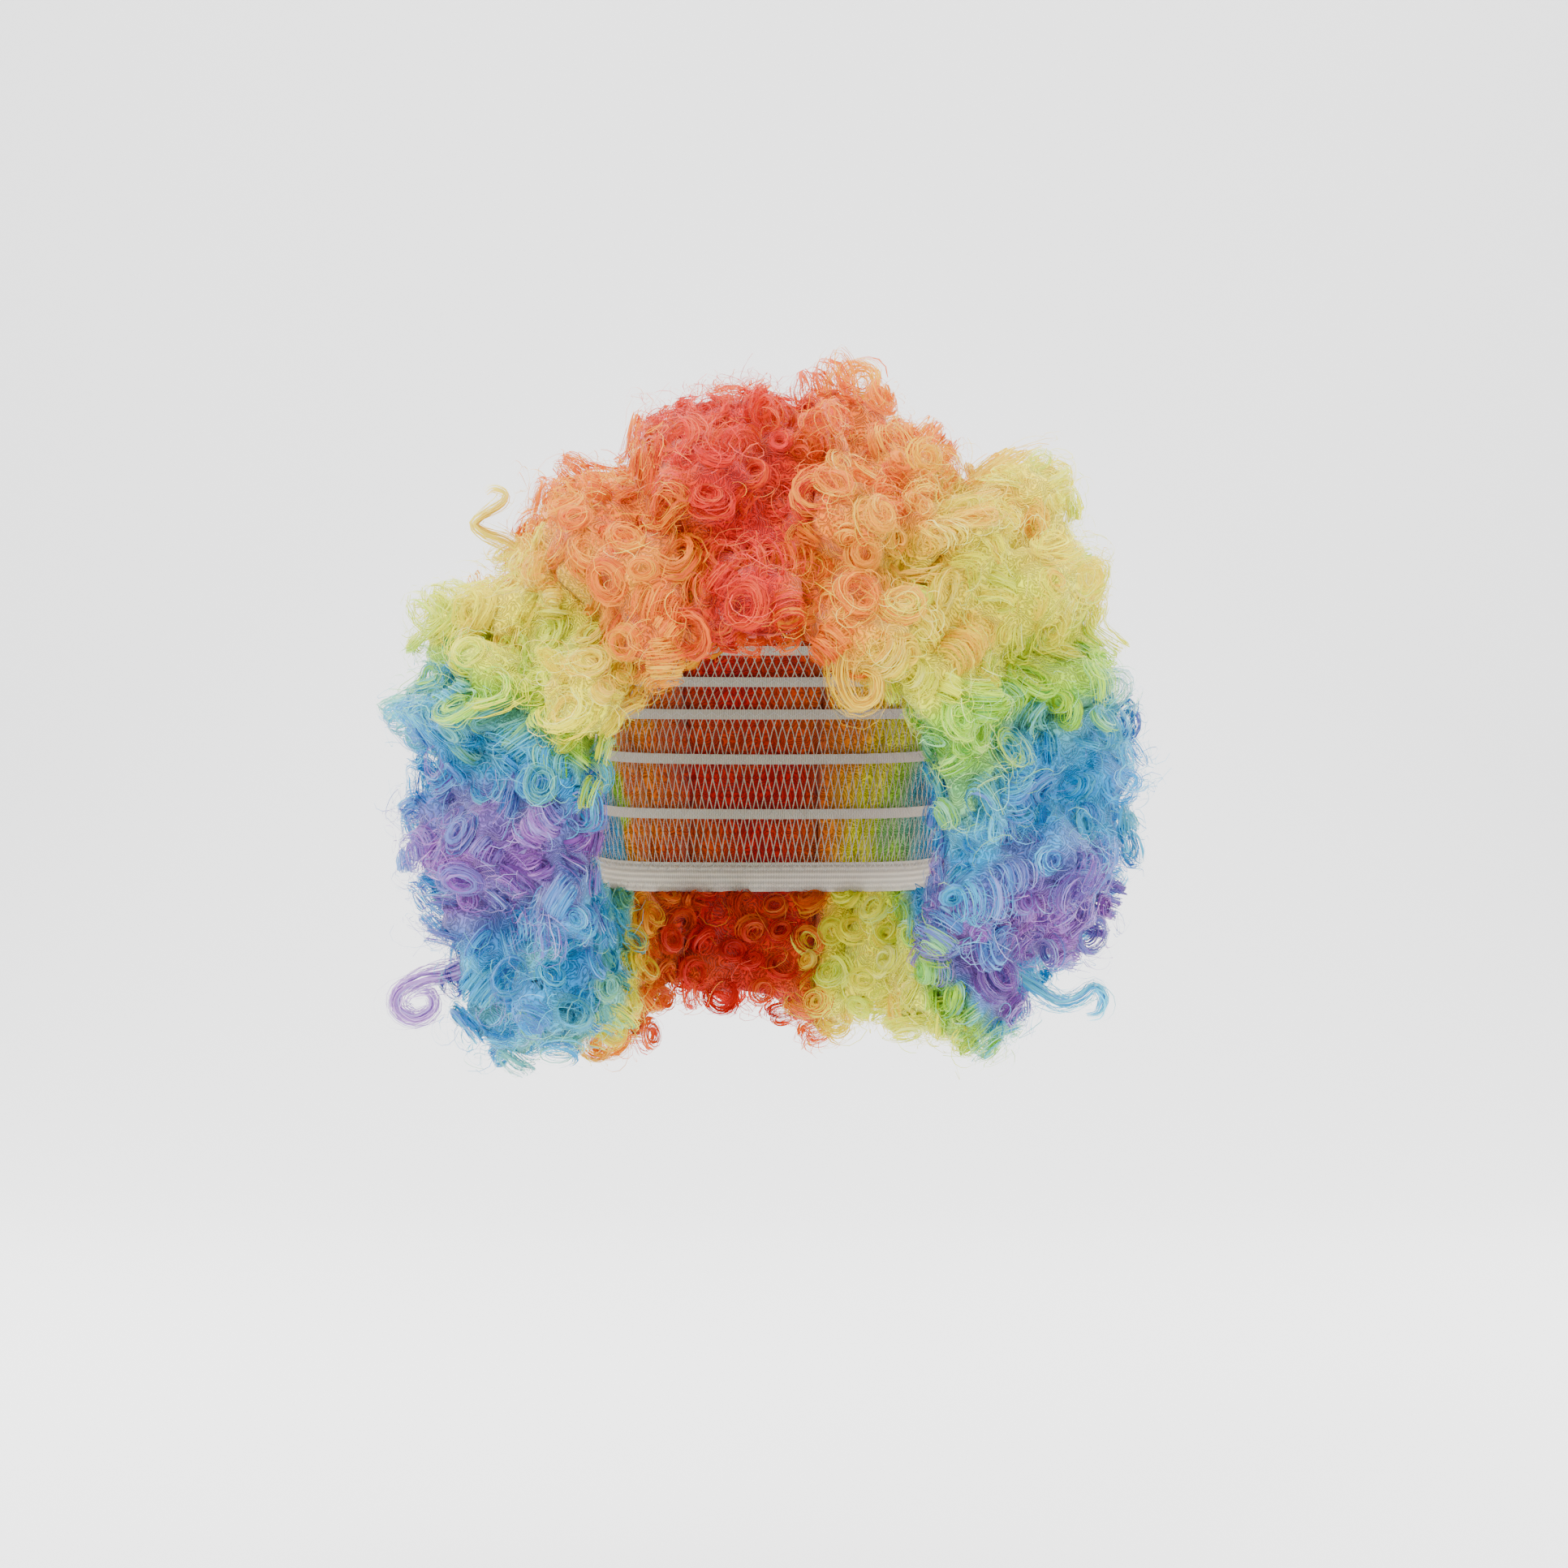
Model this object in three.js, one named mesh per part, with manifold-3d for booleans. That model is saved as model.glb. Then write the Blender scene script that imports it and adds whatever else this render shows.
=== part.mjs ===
// A round curly wig in rainbow colours, on a stretch cap with an elastic hem.
// Millimetres, +Z up. The wearer faces -Y, so the wearer's left is +X.
// The origin is the inside of the crown, where the cap sits on the head.
import * as THREE from "three";
import { mergeVertices } from "three/addons/utils/BufferGeometryUtils.js";
import Module from "manifold-3d";

const wasm = await Module();
wasm.setup();

// Head hollow, an egg that is widest one crownRise below the crown
const headBreadth = 154;
const headLength = 196;
const crownRise = 95;
const jawDrop = 160;
const neckBreadth = 122;
const neckLength = 132;
const neckSetback = 12; // the neck's axis lies this far behind the head's
const headColumns = 18;
const headRows = 10;
const neckSides = 8;

// Cap and its elastic hem
const capWall = 1.5;
const bandWidth = 12;
const bandInset = 0.8; // how far the hem stands into the hollow
const rimDepth = 165; // from the crown down to the rim at the nape
const clearance = 0.3; // between pieces that touch

// Face opening in the hair, an arch seen from the front
const windowHalfWidth = 69;
const windowHalfFoot = 60; // half width at the bottom of the hair
const windowTop = 56; // below the crown
const windowArch = 58; // height of the arch
const windowWaist = 165; // below the crown, where the sides start to close
const windowBack = 20; // the opening starts this far in front of the head's axis

// Hair: reaches are measured from a centre inside the head
const hairDrop = 100; // hair centre below the crown
const hairSetback = 10; // and behind the head's axis
const frontReach = 152; // unit of the outline seen from the front
const sideReach = 152; // unit of the outline seen from the side
const lockRadius = 24;
const lockPitch = 53;
const hairlinePitch = 41;
const lockJitter = 2; // a lock may stand this much further out or in than the outline
const lockSides = 6;
const coatDepth = 15; // from the locks' tops down to the dense hair under them
const coatColumns = 18;
const coatRows = 9;
const coneSides = 14;
const farAway = 240; // a length outside the wig in every direction

// The rim seen from the side, front to back: along is a share of half the head's
// length, drop is a share of rimDepth.
const rimRows = [
  { along: -1.25, drop: 0.3 },
  { along: -0.82, drop: 0.315 },
  { along: -0.58, drop: 0.51 },
  { along: -0.36, drop: 0.75 },
  { along: -0.05, drop: 0.9 },
  { along: 0.45, drop: 0.965 },
  { along: 1.25, drop: 1.0 },
];

// The hair's outline seen from the front, every 15 degrees from +X over the top.
const frontRows = [
  1.0, 0.97, 1.03, 1.07, 0.98, 1.03, 0.975, 0.97, 0.915, 0.945, 0.925, 0.985,
  0.955, 1.0, 1.05, 1.11, 0.99, 0.875, 0.885, 0.915, 0.98, 1.02, 1.025, 1.015,
];

// The hair's outline seen from the side, every 30 degrees from -Y over the top.
const sideRows = [
  0.72, 0.93, 1.03, 0.975, 1.0, 1.03, 1.03, 1.02, 0.98, 0.885, 0.8, 0.72,
];

// Each colour on a side lies inside a cone about an axis near the ear. forward and down
// turn that axis from straight sideways, and half is the cone's half angle, in degrees.
const crownColour = "red";
const sideBorders = {
  right: [
    { colour: "violet", forward: 22, down: 24, half: 27 },
    { colour: "blue", forward: 15, down: 26, half: 39 },
    { colour: "green", forward: 10, down: 24, half: 47 },
    { colour: "yellow", forward: 8, down: 16, half: 58 },
    { colour: "orange", forward: 5, down: 3, half: 73 },
  ],
  left: [
    { colour: "violet", forward: 15, down: 35, half: 19 },
    { colour: "blue", forward: 15, down: 26, half: 34 },
    { colour: "green", forward: 10, down: 24, half: 48 },
    { colour: "yellow", forward: 8, down: 16, half: 66 },
    { colour: "orange", forward: 5, down: 3, half: 81 },
  ],
};
const sideSigns = { right: -1, left: 1 };

const paint = (color, roughness) =>
  new THREE.MeshStandardMaterial({ color, roughness, metalness: 0 });
const finishes = {
  red: paint(0xe0362b, 0.55),
  orange: paint(0xf28a2e, 0.55),
  yellow: paint(0xfbe25a, 0.55),
  green: paint(0xa9d45c, 0.55),
  blue: paint(0x2f9bd8, 0.55),
  violet: paint(0x8e5fb5, 0.55),
  net: paint(0xe9e2d4, 0.8),
  elastic: paint(0xf3efe6, 0.7),
};

const radians = THREE.MathUtils.degToRad;
const degrees = THREE.MathUtils.radToDeg;
const hairCentre = new THREE.Vector3(0, hairSetback, -hairDrop);

// A steady number from 0 to 1 for each whole n.
function shuffled(n) {
  const wave = Math.sin(n * 12.9898 + 4.1414) * 43758.5453;
  return wave - Math.floor(wave);
}

// The value at an angle of a table whose rows stand evenly round a circle.
function aroundCircle(rows, angle) {
  const place = (((angle / 360) % 1) + 1) * rows.length;
  const from = Math.floor(place);
  const t = place - from;
  const [a, b, c, d] = [-1, 0, 1, 2].map((k) => rows[(from + k) % rows.length]);
  const bend = (2 * a - 5 * b + 4 * c - d) * t * t + (3 * b - a - 3 * c + d) * t ** 3;
  return b + ((c - a) * t + bend) / 2;
}

function toSolid(geometry) {
  const bare = geometry.clone();
  bare.deleteAttribute("normal");
  bare.deleteAttribute("uv");
  const merged = mergeVertices(bare, 1e-4);
  return new wasm.Manifold(
    new wasm.Mesh({
      numProp: 3,
      vertProperties: merged.attributes.position.array,
      triVerts: new Uint32Array(merged.index.array),
    }),
  );
}

function toMesh(name, solid, material) {
  const { numProp, numVert, vertProperties, triVerts } = solid.getMesh();
  const position = new Float32Array(numVert * 3);
  for (let i = 0; i < numVert; i++)
    position.set(vertProperties.subarray(i * numProp, i * numProp + 3), i * 3);
  const geometry = new THREE.BufferGeometry()
    .setAttribute("position", new THREE.BufferAttribute(position, 3))
    .setIndex(new THREE.BufferAttribute(triVerts, 1));
  geometry.computeVertexNormals();
  const mesh = new THREE.Mesh(geometry, material);
  mesh.name = name;
  return mesh;
}

// The largest of a solid's separate bodies: a cut can leave a crumb of a lock behind.
function mainBody(solid) {
  return solid.decompose().reduce((a, b) => (b.volume() > a.volume() ? b : a));
}

// A closed ball whose distance from its centre is reach(direction).
function ball(columns, rows, centre, pointAt) {
  const geometry = new THREE.SphereGeometry(1, columns, rows);
  geometry.rotateX(Math.PI / 2);
  const position = geometry.attributes.position;
  const direction = new THREE.Vector3();
  for (let i = 0; i < position.count; i++) {
    direction.fromBufferAttribute(position, i);
    const { x, y, z } = pointAt(direction).add(centre);
    position.setXYZ(i, x, y, z);
  }
  return toSolid(geometry);
}

// The head's form, grown outwards by offset.
function headForm(offset) {
  const widestLevel = new THREE.Vector3(0, 0, -crownRise);
  return ball(headColumns, headRows, widestLevel, (d) =>
    new THREE.Vector3(
      d.x * (headBreadth / 2 + offset),
      d.y * (headLength / 2 + offset),
      d.z * ((d.z > 0 ? crownRise : jawDrop) + offset),
    ),
  );
}

// Everything below the rim once it is raised by lift, seen from the side.
function belowRim(lift) {
  const points = rimRows.map(
    (row) =>
      new THREE.Vector2((row.along * headLength) / 2, -row.drop * rimDepth + lift),
  );
  const outline = new THREE.Shape();
  outline.moveTo(points[0].x, points[0].y);
  outline.splineThru(points.slice(1));
  outline.lineTo(points.at(-1).x, -farAway);
  outline.lineTo(points[0].x, -farAway);
  outline.closePath();
  const cutter = new THREE.ExtrudeGeometry(outline, {
    depth: 2 * headBreadth,
    bevelEnabled: false,
    curveSegments: 3,
  });
  cutter.translate(0, 0, -headBreadth);
  // The outline was drawn as (y, z): turn its first axis onto Y and its second onto Z.
  cutter.applyMatrix4(
    new THREE.Matrix4().makeBasis(
      new THREE.Vector3(0, 1, 0),
      new THREE.Vector3(0, 0, 1),
      new THREE.Vector3(1, 0, 0),
    ),
  );
  return toSolid(cutter);
}

function cap() {
  return mainBody(
    headForm(capWall)
      .subtract(headForm(0))
      .subtract(belowRim(bandWidth + clearance)),
  );
}

function hemBand() {
  return mainBody(
    headForm(capWall)
      .subtract(headForm(-bandInset))
      .subtract(belowRim(0))
      .intersect(belowRim(bandWidth)),
  );
}

// How far the hair reaches from its centre in a direction.
function hairReach(d) {
  const front = frontReach * aroundCircle(frontRows, degrees(Math.atan2(d.z, d.x)));
  const side = sideReach * aroundCircle(sideRows, degrees(Math.atan2(d.z, -d.y)));
  const across = d.x * d.x + 1e-9;
  const along = d.y * d.y + 1e-9;
  const tilt = 1 + (d.z * d.z) / (across + along);
  return 1 / Math.sqrt((across * tilt) / front ** 2 + (along * tilt) / side ** 2);
}

// The dense hair under the locks.
function undercoat() {
  return ball(coatColumns, coatRows, hairCentre, (d) =>
    d.clone().multiplyScalar(hairReach(d) - coatDepth),
  );
}

function neckSpace() {
  const neck = new THREE.CylinderGeometry(1, 1, 1, neckSides);
  neck.rotateX(Math.PI / 2);
  neck.scale(neckBreadth / 2, neckLength / 2, farAway);
  neck.translate(0, neckSetback, -hairDrop - farAway / 2);
  return toSolid(neck);
}

function faceSpace() {
  const archLevel = -windowTop - windowArch;
  const arch = new THREE.Shape();
  arch.moveTo(-windowHalfFoot, -farAway);
  arch.lineTo(windowHalfFoot, -farAway);
  arch.lineTo(windowHalfWidth, -windowWaist);
  arch.lineTo(windowHalfWidth, archLevel);
  arch.absellipse(0, archLevel, windowHalfWidth, windowArch, 0, Math.PI, false, 0);
  arch.lineTo(-windowHalfWidth, -windowWaist);
  arch.closePath();
  const face = new THREE.ExtrudeGeometry(arch, {
    depth: farAway,
    bevelEnabled: false,
    curveSegments: 4,
  });
  face.rotateX(Math.PI / 2);
  face.translate(0, -windowBack, 0);
  return toSolid(face);
}

// One curled lock: a round bun with a dimple where the curl's centre is.
function lock(place, direction, radius, turn) {
  const profile = [
    [0, -1],
    [1, 0],
    [0.62, 0.56],
    [0, 0.3],
  ].map(([out, up]) => new THREE.Vector2(out * radius, up * radius));
  const bun = new THREE.LatheGeometry(profile, lockSides);
  bun.rotateY(turn);
  bun.applyQuaternion(
    new THREE.Quaternion().setFromUnitVectors(new THREE.Vector3(0, 1, 0), direction),
  );
  bun.translate(place.x, place.y, place.z);
  return toSolid(bun);
}

// How far a place is outside the face opening, seen from the front.
function outsideWindow({ x, z }) {
  const above = z + windowTop + windowArch;
  if (above < 0) return Math.abs(x) - windowHalfWidth;
  const share = Math.hypot(x / windowHalfWidth, above / windowArch);
  return Math.hypot(x, above) * (1 - 1 / Math.max(share, 1e-6));
}

function outsideNeck({ x, y }) {
  const share = Math.hypot(x / (neckBreadth / 2), (y - neckSetback) / (neckLength / 2));
  return Math.hypot(x, y - neckSetback) * (1 - 1 / Math.max(share, 1e-6));
}

// Locks spread evenly over the hair, clear of the face opening and the neck.
function scatteredLocks() {
  const count = Math.round((4 * Math.PI * frontReach ** 2) / (0.87 * lockPitch ** 2));
  const goldenTurn = Math.PI * (3 - Math.sqrt(5));
  const locks = [];
  for (let n = 0; n < count; n++) {
    const up = 1 - (2 * n + 1) / count;
    const level = Math.sqrt(1 - up * up);
    const turn = n * goldenTurn;
    const direction = new THREE.Vector3(
      level * Math.cos(turn),
      up,
      level * Math.sin(turn),
    );
    const radius = lockRadius * (0.9 + 0.2 * shuffled(n + 310));
    const out = lockJitter * (2 * shuffled(n + 570) - 1);
    const reach = hairReach(direction) - 0.5 * radius + out;
    const place = direction.clone().multiplyScalar(reach).add(hairCentre);
    const atFace = place.y < -windowBack && outsideWindow(place) < 1.7 * radius;
    const atNeck = place.z < -rimDepth && outsideNeck(place) < 0.7 * radius;
    if (atFace || atNeck) continue;
    locks.push(lock(place, direction, radius, Math.PI * shuffled(n + 830)));
  }
  return locks;
}

// A row of locks that rolls over the edge of the face opening.
function hairlineLocks() {
  const archLevel = -windowTop - windowArch;
  const edge = new THREE.Path();
  const out = 0.7 * lockRadius;
  edge.moveTo(windowHalfWidth + out, -farAway + 1.6 * lockRadius);
  edge.lineTo(windowHalfWidth + out, archLevel);
  edge.absellipse(
    0,
    archLevel,
    windowHalfWidth + out,
    windowArch + out,
    0,
    Math.PI,
    false,
    0,
  );
  edge.lineTo(-windowHalfWidth - out, -farAway + 1.6 * lockRadius);
  const count = Math.round(edge.getLength() / hairlinePitch);
  return edge.getSpacedPoints(count).map(({ x, y: z }, n) => {
    const radius = lockRadius * (0.85 + 0.2 * shuffled(n + 40));
    const place = new THREE.Vector3(x, -windowBack, z);
    const direction = new THREE.Vector3();
    for (let step = 0; step < 60; step++) {
      direction.copy(place).sub(hairCentre);
      const length = direction.length();
      direction.divideScalar(length);
      if (length > hairReach(direction) - 0.45 * radius) break;
      place.y -= 2;
    }
    return lock(place, direction, radius, Math.PI * shuffled(n + 60));
  });
}

function earAxis(sign, { forward, down }) {
  const level = Math.cos(radians(down));
  return new THREE.Vector3(
    sign * level * Math.cos(radians(forward)),
    -level * Math.sin(radians(forward)),
    -Math.sin(radians(down)),
  );
}

// The solid cone inside a colour border, grown outwards where asked.
function borderCone(sign, border, grown) {
  const half = radians(border.half);
  const cone = new THREE.ConeGeometry(farAway * Math.tan(half), farAway, coneSides);
  cone.translate(0, grown / Math.sin(half) - farAway / 2, 0);
  cone.applyQuaternion(
    new THREE.Quaternion().setFromUnitVectors(
      new THREE.Vector3(0, -1, 0),
      earAxis(sign, border),
    ),
  );
  cone.translate(hairCentre.x, hairCentre.y, hairCentre.z);
  return toSolid(cone);
}

const joined = (solids) => solids.reduce((a, b) => a.add(b));

function hairSections() {
  const hair = joined([
    undercoat().subtract(faceSpace()),
    ...scatteredLocks(),
    ...hairlineLocks(),
  ])
    .subtract(headForm(capWall + clearance))
    .subtract(neckSpace());
  const sections = [];
  let crown = hair;
  for (const [side, borders] of Object.entries(sideBorders)) {
    const sign = sideSigns[side];
    borders.forEach((border, i) => {
      let solid = hair.intersect(borderCone(sign, border, 0));
      if (i) solid = solid.subtract(borderCone(sign, borders[i - 1], clearance));
      const name = `hair_${border.colour}_${side}`;
      sections.push({ name, colour: border.colour, solid: mainBody(solid) });
    });
    crown = crown.subtract(borderCone(sign, borders.at(-1), clearance));
  }
  const name = `hair_${crownColour}`;
  sections.push({ name, colour: crownColour, solid: mainBody(crown) });
  return sections;
}

const wig = new THREE.Group();
wig.add(toMesh("cap", cap(), finishes.net));
wig.add(toMesh("hem_band", hemBand(), finishes.elastic));
for (const { name, colour, solid } of hairSections())
  wig.add(toMesh(name, solid, finishes[colour]));

export default wig;
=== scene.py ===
import math

import bpy
import numpy as np
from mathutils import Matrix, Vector
from mathutils.bvhtree import BVHTree


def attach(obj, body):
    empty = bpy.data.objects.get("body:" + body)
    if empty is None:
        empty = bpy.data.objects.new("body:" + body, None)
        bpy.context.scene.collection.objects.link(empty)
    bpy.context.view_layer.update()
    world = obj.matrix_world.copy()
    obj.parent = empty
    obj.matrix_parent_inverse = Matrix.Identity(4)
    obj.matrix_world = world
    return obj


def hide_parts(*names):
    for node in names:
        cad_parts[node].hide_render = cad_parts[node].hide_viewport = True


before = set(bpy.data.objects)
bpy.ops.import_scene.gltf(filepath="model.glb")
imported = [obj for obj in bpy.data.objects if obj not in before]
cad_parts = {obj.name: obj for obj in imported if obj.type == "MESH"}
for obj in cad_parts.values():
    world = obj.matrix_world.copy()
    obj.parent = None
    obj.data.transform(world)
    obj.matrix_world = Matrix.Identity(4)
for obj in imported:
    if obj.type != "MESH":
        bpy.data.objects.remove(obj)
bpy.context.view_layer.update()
mm = 0.001
hairCentre = np.array((0.0, 10 * mm, -100 * mm))

# The head form that the cap fits, and its rim seen from the side, in mm.
head = {"halfWide": 77.0, "halfLong": 98.0, "middle": -95.0, "up": 95.0, "down": 160.0}
rim = {
    "drop": 165.0,
    "band": 12.0,
    "rows": [  # share of the half length, share of the drop
        (-1.25, 0.3),
        (-0.82, 0.315),
        (-0.58, 0.51),
        (-0.36, 0.75),
        (-0.05, 0.9),
        (0.45, 0.965),
        (1.25, 1.0),
    ],
}

# Deep, middle and pale fibre of each colour, in linear light.
# Besides varying at random, the deep end also serves as painted shade inside the curls and under
# them, and the pale end as painted light on fibres further out.
palette = {
    "red": [(0.40, 0.002, 0.002), (0.78, 0.010, 0.004), (1.00, 0.11, 0.07)],
    "orange": [(0.82, 0.095, 0.001), (0.96, 0.27, 0.001), (1.00, 0.60, 0.01)],
    "yellow": [(0.98, 0.80, 0.003), (1.00, 1.00, 0.010), (1.00, 1.00, 0.34)],
    "green": [(0.11, 0.44, 0.002), (0.46, 0.88, 0.030), (0.80, 1.00, 0.32)],
    "blue": [(0.001, 0.18, 0.52), (0.004, 0.46, 0.88), (0.14, 0.82, 1.00)],
    "violet": [(0.13, 0.024, 0.25), (0.38, 0.11, 0.53), (0.78, 0.48, 0.93)],
}
bandOrder = ["red", "orange", "yellow", "green", "blue", "violet"]

# Each band lies round an axis near the ear: forward, down, half angle from front to back
# and how much flatter than wide it is.
bandCones = {
    -1: {
        "orange": (12, 3, 69, 1.0),
        "yellow": (17, 16, 54, 1.03),
        "green": (10, 17, 50, 1.47),
        "blue": (10, 23, 46, 1.26),
        "violet": (25, 19, 32, 2.5),
    },
    1: {
        "orange": (6, 3, 82, 1.0),
        "yellow": (10, 20, 70, 0.95),
        "green": (14, 19, 66, 1.85),
        "blue": (3, 20, 45, 1.42),
        "violet": (20, 31, 25, 1.6),
    },
}

hairNodes = sorted(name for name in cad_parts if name.startswith("hair_"))
triangles = {}


def unit(v):
    return v / np.maximum(np.linalg.norm(v, axis=-1, keepdims=True), 1e-12)


def softNoise(points, size, seed):
    # a smooth value of about -1 to 1 at each point, with lumps of about that size
    rng = np.random.default_rng(seed)
    total = np.zeros(points.shape[:-1])
    for _ in range(6):
        way = unit(rng.normal(size=3)) * rng.uniform(0.6, 1.4) * 2 * math.pi / size
        total = total + np.sin(points @ way + rng.uniform(0, 2 * math.pi))
    return total / 2.6


def bandPlace(points):
    # 0 in the middle of the red to 5 over the ears, with halves at the borders
    ways = unit(points - hairCentre)
    place = np.zeros(len(ways))
    past = {}
    for side, cones in bandCones.items():
        for band, (forward, down, half, flat) in cones.items():
            f, d = math.radians(forward), math.radians(down)
            axis = (side * math.cos(d) * math.cos(f), -math.cos(d) * math.sin(f), -math.sin(d))
            angle = np.degrees(np.arccos(np.clip(ways @ np.array(axis), -1, 1)))
            level = np.degrees(np.arcsin(np.clip(ways[:, 2], -1, 1))) + down
            angle = np.sqrt(np.maximum(angle**2 + (flat**2 - 1) * level**2, 0))
            past[side, band] = angle - half
            if band == "violet":
                share = np.clip(angle / half, 0, 1)
                inside = past[side, band] <= 0
                place = np.where(inside, 5 - 0.5 * share**2, place)
        for band, inner in zip(bandOrder[1:5], bandOrder[2:6]):
            out, into = past[side, band], past[side, inner]
            share = np.clip(into / np.maximum(into - out, 1e-6), 0, 1)
            bend = 0.5 * np.sign(0.5 - share) * np.abs(1 - 2 * share) ** 3
            here = (out <= 0) & (into > 0)
            place = np.where(here, bandOrder.index(band) + bend, place)
    right, left = past[-1, "orange"], past[1, "orange"]
    share = np.clip(right / np.maximum(right + left, 1e-6), 0, 1)
    crown = (right > 0) & (left > 0)
    return np.where(crown, 0.5 * np.abs(1 - 2 * share) ** 3, place)


shades = np.array([palette[band] for band in bandOrder])


def fibreColour(place, tone):
    # place picks the dye, 0 to 5, and tone its deep, middle or pale shade, 0 to 1
    place = np.clip(place, 0, 4.999)
    tone = np.clip(tone, 0, 1) * 1.999
    i, j = place.astype(int), tone.astype(int)
    u, v = (place - i)[..., None], (tone - j)[..., None]
    near = shades[i, j] * (1 - v) + shades[i, j + 1] * v
    far = shades[i + 1, j] * (1 - v) + shades[i + 1, j + 1] * v
    return near * (1 - u) + far * u


# Where the hair grows
def facesOf(names):
    corners = []
    for name in names:
        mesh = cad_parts[name].data
        mesh.calc_loop_triangles()
        where = np.empty(len(mesh.vertices) * 3)
        mesh.vertices.foreach_get("co", where)
        index = np.empty(len(mesh.loop_triangles) * 3, int)
        mesh.loop_triangles.foreach_get("vertices", index)
        corners.append(where.reshape(-1, 3)[index].reshape(-1, 3, 3))
    return np.concatenate(corners)


wholeWig = facesOf(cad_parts)
wigTree = BVHTree.FromPolygons(
    [Vector(p) for p in wholeWig.reshape(-1, 3)],
    [(3 * i, 3 * i + 1, 3 * i + 2) for i in range(len(wholeWig))],
)


def openPlaces(name, spread, rng):
    # places on a section that nothing covers, one for each spread of area, and their normals
    tri = facesOf([name])
    cross = np.cross(tri[:, 1] - tri[:, 0], tri[:, 2] - tri[:, 0])
    area = np.linalg.norm(cross, axis=1) / 2
    pick = rng.choice(len(tri), int(area.sum() / spread), p=area / area.sum())
    a, b = rng.random((2, len(pick), 1))
    a, b = np.where(a + b > 1, 1 - a, a), np.where(a + b > 1, 1 - b, b)
    places = tri[pick, 0] * (1 - a - b) + tri[pick, 1] * a + tri[pick, 2] * b
    normals = unit(cross[pick])
    free = [
        wigTree.ray_cast(Vector(p + n * 0.08 * mm), Vector(n), 14 * mm)[0] is None
        for p, n in zip(places, normals)
    ]
    return places[free], normals[free]


def throughPoints(knots, steps):
    # a smooth line through the knots, with some steps between each two
    knots = np.vstack([2 * knots[0] - knots[1], knots, 2 * knots[-1] - knots[-2]])
    t = np.linspace(0, 1, steps, endpoint=False)[:, None]
    line = []
    for a, b, c, d in zip(knots, knots[1:], knots[2:], knots[3:]):
        bend = (2 * a - 5 * b + 4 * c - d) * t**2
        twist = (3 * b - a - 3 * c + d) * t**3
        line.append(0.5 * (2 * b + (c - a) * t + bend + twist))
    return np.concatenate([*line, knots[-2:-1]])


rimLine = throughPoints(np.array(rim["rows"]) * (head["halfLong"], -rim["drop"]), 12)


def rimHeight(y):
    # the rim's height at a place from front to back, all in mm
    return np.interp(y, rimLine[:, 0], rimLine[:, 1])


# How the mass of hair swells and dips round its outline, seen from the front: angle from
# the wearer's left over the top, and mm.
lobes = [
    (-90, -4),
    (-55, 1),
    (-43, -2),
    (-24, -3),
    (-18, 0),
    (-9, -9),
    (-3, -2),
    (5, -6),
    (12, -3),
    (20, -15),
    (29, -4),
    (36, -9),
    (43, 0),
    (48, -3),
    (53, -17),
    (61, -12),
    (70, -11),
    (79, -6),
    (86, -11),
    (95, -7),
    (103, -4),
    (111, -4),
    (116, -17),
    (123, -9),
    (131, -6),
    (141, -15),
    (147, -13),
    (155, -5),
    (163, -4),
    (168, -8),
    (174, 6),
    (179, 0),
    (185, -8),
    (192, -6),
    (199, 0),
    (212, -11),
    (219, -2),
    (232, 1),
    (240, -4),
    (270, -4),
]


# Hair within "still" mm of the middle stays where it is, and from there the move grows over
# "grows" mm. Hair straight ahead and behind is drawn in by "flatter" mm.
fluff = {"still": 100.0, "grows": 30.0, "ahead": 0.45, "turns": 0.4, "flatter": 5.0}


def fluffed(points):
    # moves outer hair in or out along its own direction from the middle of the hair
    out = points - hairCentre
    reach = np.linalg.norm(out, axis=-1, keepdims=True)
    way = out / np.maximum(reach, 1e-9)
    angle = np.degrees(np.arctan2(way[..., 2], way[..., 0]))
    rows = np.array(lobes, float)
    swell = np.interp(angle, rows[:, 0], rows[:, 1], period=360)[..., None]
    sideways = np.hypot(way[..., 0], way[..., 2])[..., None]
    beside = np.clip((sideways - fluff["ahead"]) / fluff["turns"], 0, 1)
    outer = np.clip((reach - fluff["still"] * mm) / (fluff["grows"] * mm), 0, 1)
    return points + way * outer * (swell * beside - fluff["flatter"] * (1 - beside)) * mm


# How far hair below the rim may reach into the head form, and how much further by the neck.
hanging = {"reach": 12.0, "byNeck": 18.0, "neckTop": -152.0, "grows": 12.0}


def besideHead(points, lift):
    # moves what is inside the cap out to lift mm from the head form
    middle = np.array((0, 0, head["middle"] * mm))
    height = points[..., 2] / mm
    low = np.clip((hanging["neckTop"] - height) / hanging["grows"], 0, 1)
    below = -hanging["reach"] - hanging["byNeck"] * low
    lift = np.where(height < rimHeight(points[..., 1] / mm), below, lift)
    out = points - middle
    half = np.empty(out.shape)
    half[..., 0] = (head["halfWide"] + lift) * mm
    half[..., 1] = (head["halfLong"] + lift) * mm
    half[..., 2] = (np.where(out[..., 2] > 0, head["up"], head["down"]) + lift) * mm
    depth = np.linalg.norm(out / half, axis=-1, keepdims=True)
    return np.where(depth < 1, middle + out / np.maximum(depth, 0.2), points)


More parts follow.
